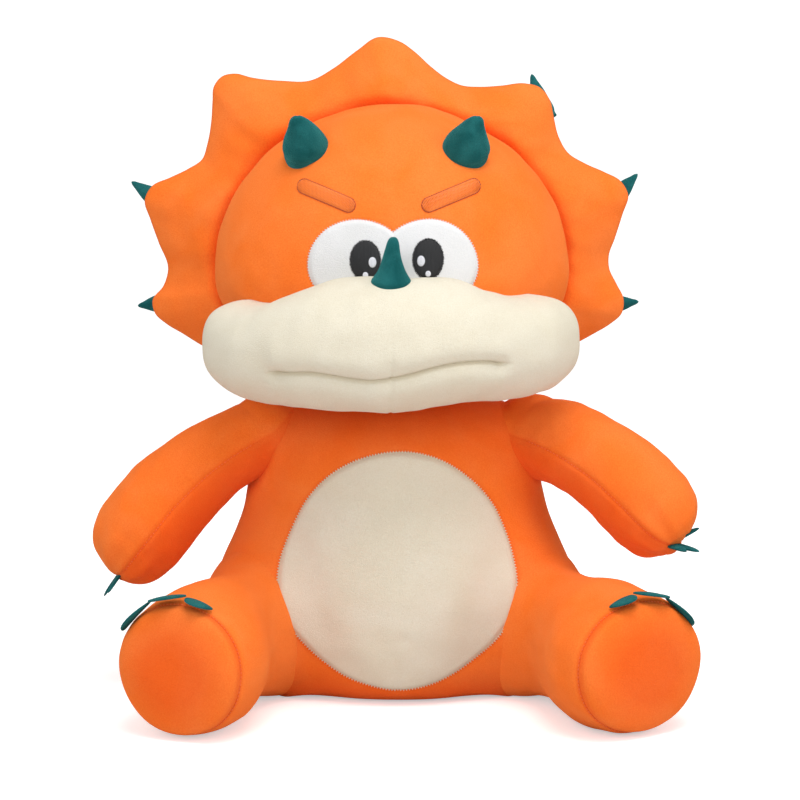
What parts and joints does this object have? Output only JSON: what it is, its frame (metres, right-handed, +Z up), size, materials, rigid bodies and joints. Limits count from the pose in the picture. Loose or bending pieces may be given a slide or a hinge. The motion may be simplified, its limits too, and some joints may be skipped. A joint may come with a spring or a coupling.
{
  "type": "stuffed dinosaur",
  "caption": "Stuffed horned dinosaur that sits upright: big frilled head on a turning neck, broad muzzle, round belly patch, soft arms, legs and tail",
  "frame": {"origin": "centre of the flat seat under the body, on the surface the toy sits on", "axes": "+Z up, the face and the feet point along -Y, +X towards the toy's own left side; at rest both limbs lie as sewn and the head faces forward"},
  "size_m": [0.5394, 0.4714, 0.5995],
  "materials": {
    "orange_plush": "short-pile stretch plush",
    "cream_plush": "short-pile stretch plush",
    "white_plush": "short-pile stretch plush",
    "teal_velour": "velour",
    "teal_felt": "doubled velour, cut edges sewn",
    "black_thread": "embroidery",
    "gold_thread": "satin stitch embroidery",
    "label_tape": "woven satin tape, blank",
    "filling": "loose polyester fibre"
  },
  "bodies": {
    "torso": {"body_fill": "filling", "front_panel": "orange_plush", "back_panel_left": "orange_plush", "back_panel_right": "orange_plush", "seat_panel": "orange_plush", "belly_patch": "cream_plush", "care_label": "label_tape"},
    "neck": {"neck_fill": "orange_plush"},
    "head": {"head_fill": "filling", "face_panel": "orange_plush", "head_back_panel": "orange_plush", "eye_patch": "white_plush", "pupil_left": "black_thread", "pupil_right": "black_thread", "eye_highlights": "white_plush", "brow_left": "gold_thread", "brow_right": "gold_thread", "muzzle_fill": "filling", "muzzle_upper_panel": "cream_plush", "muzzle_lower_panel": "cream_plush", "nose_horn": "teal_velour", "brow_horn_left": "teal_velour", "brow_horn_right": "teal_velour", "frill_padding": "filling", "frill_front_panel": "orange_plush", "frill_back_panel": "orange_plush", "spike_top": "teal_velour", "spike_upper_left": "teal_velour", "spike_upper_right": "teal_velour", "spike_middle_left": "teal_velour", "spike_middle_right": "teal_velour", "spike_lower_left": "teal_velour", "spike_lower_right": "teal_velour"},
    "arm_left": {"arm_fill_left": "filling", "arm_upper_panel_left": "orange_plush", "arm_lower_panel_left": "orange_plush", "hand_claws_left": "teal_felt"},
    "arm_right": {"arm_fill_right": "filling", "arm_upper_panel_right": "orange_plush", "arm_lower_panel_right": "orange_plush", "hand_claws_right": "teal_felt"},
    "leg_left": {"leg_fill_left": "filling", "leg_panel_left": "orange_plush", "sole_left": "orange_plush", "toe_inner_left": "teal_felt", "toe_middle_left": "teal_felt", "toe_outer_left": "teal_felt"},
    "leg_right": {"leg_fill_right": "filling", "leg_panel_right": "orange_plush", "sole_right": "orange_plush", "toe_inner_right": "teal_felt", "toe_middle_right": "teal_felt", "toe_outer_right": "teal_felt"},
    "tail": {"tail_fill": "filling", "tail_panel_left": "orange_plush", "tail_panel_right": "orange_plush"}
  },
  "joints": [
    {"name": "head_turn", "type": "hinge", "parent": "torso", "child": "neck", "pos_m": [0, 0, 0.282], "axis": [0, 0, 1], "range_deg": [-25, 25], "stiffness_Nm_per_rad": 6},
    {"name": "head_nod", "type": "hinge", "parent": "neck", "child": "head", "pos_m": [0, 0, 0.282], "axis": [-1, 0, 0], "range_deg": [-8, 10], "stiffness_Nm_per_rad": 8},
    {"name": "arm_left_raise", "type": "hinge", "parent": "torso", "child": "arm_left", "pos_m": [0.122, -0.02, 0.24], "axis": [0, -1, 0], "range_deg": [-8, 30], "stiffness_Nm_per_rad": 1.2},
    {"name": "arm_right_raise", "type": "hinge", "parent": "torso", "child": "arm_right", "pos_m": [-0.122, -0.02, 0.24], "axis": [0, 1, 0], "range_deg": [-8, 30], "stiffness_Nm_per_rad": 1.2},
    {"name": "leg_left_swing", "type": "hinge", "parent": "torso", "child": "leg_left", "pos_m": [0.118, -0.045, 0.063], "axis": [0, 0, 1], "range_deg": [-6, 14], "stiffness_Nm_per_rad": 4},
    {"name": "leg_right_swing", "type": "hinge", "parent": "torso", "child": "leg_right", "pos_m": [-0.118, -0.045, 0.063], "axis": [0, 0, -1], "range_deg": [-6, 14], "stiffness_Nm_per_rad": 4},
    {"name": "tail_wag", "type": "hinge", "parent": "torso", "child": "tail", "pos_m": [0, 0.088, 0.052], "axis": [0, 0, 1], "range_deg": [-20, 20], "stiffness_Nm_per_rad": 0.8}
  ]
}
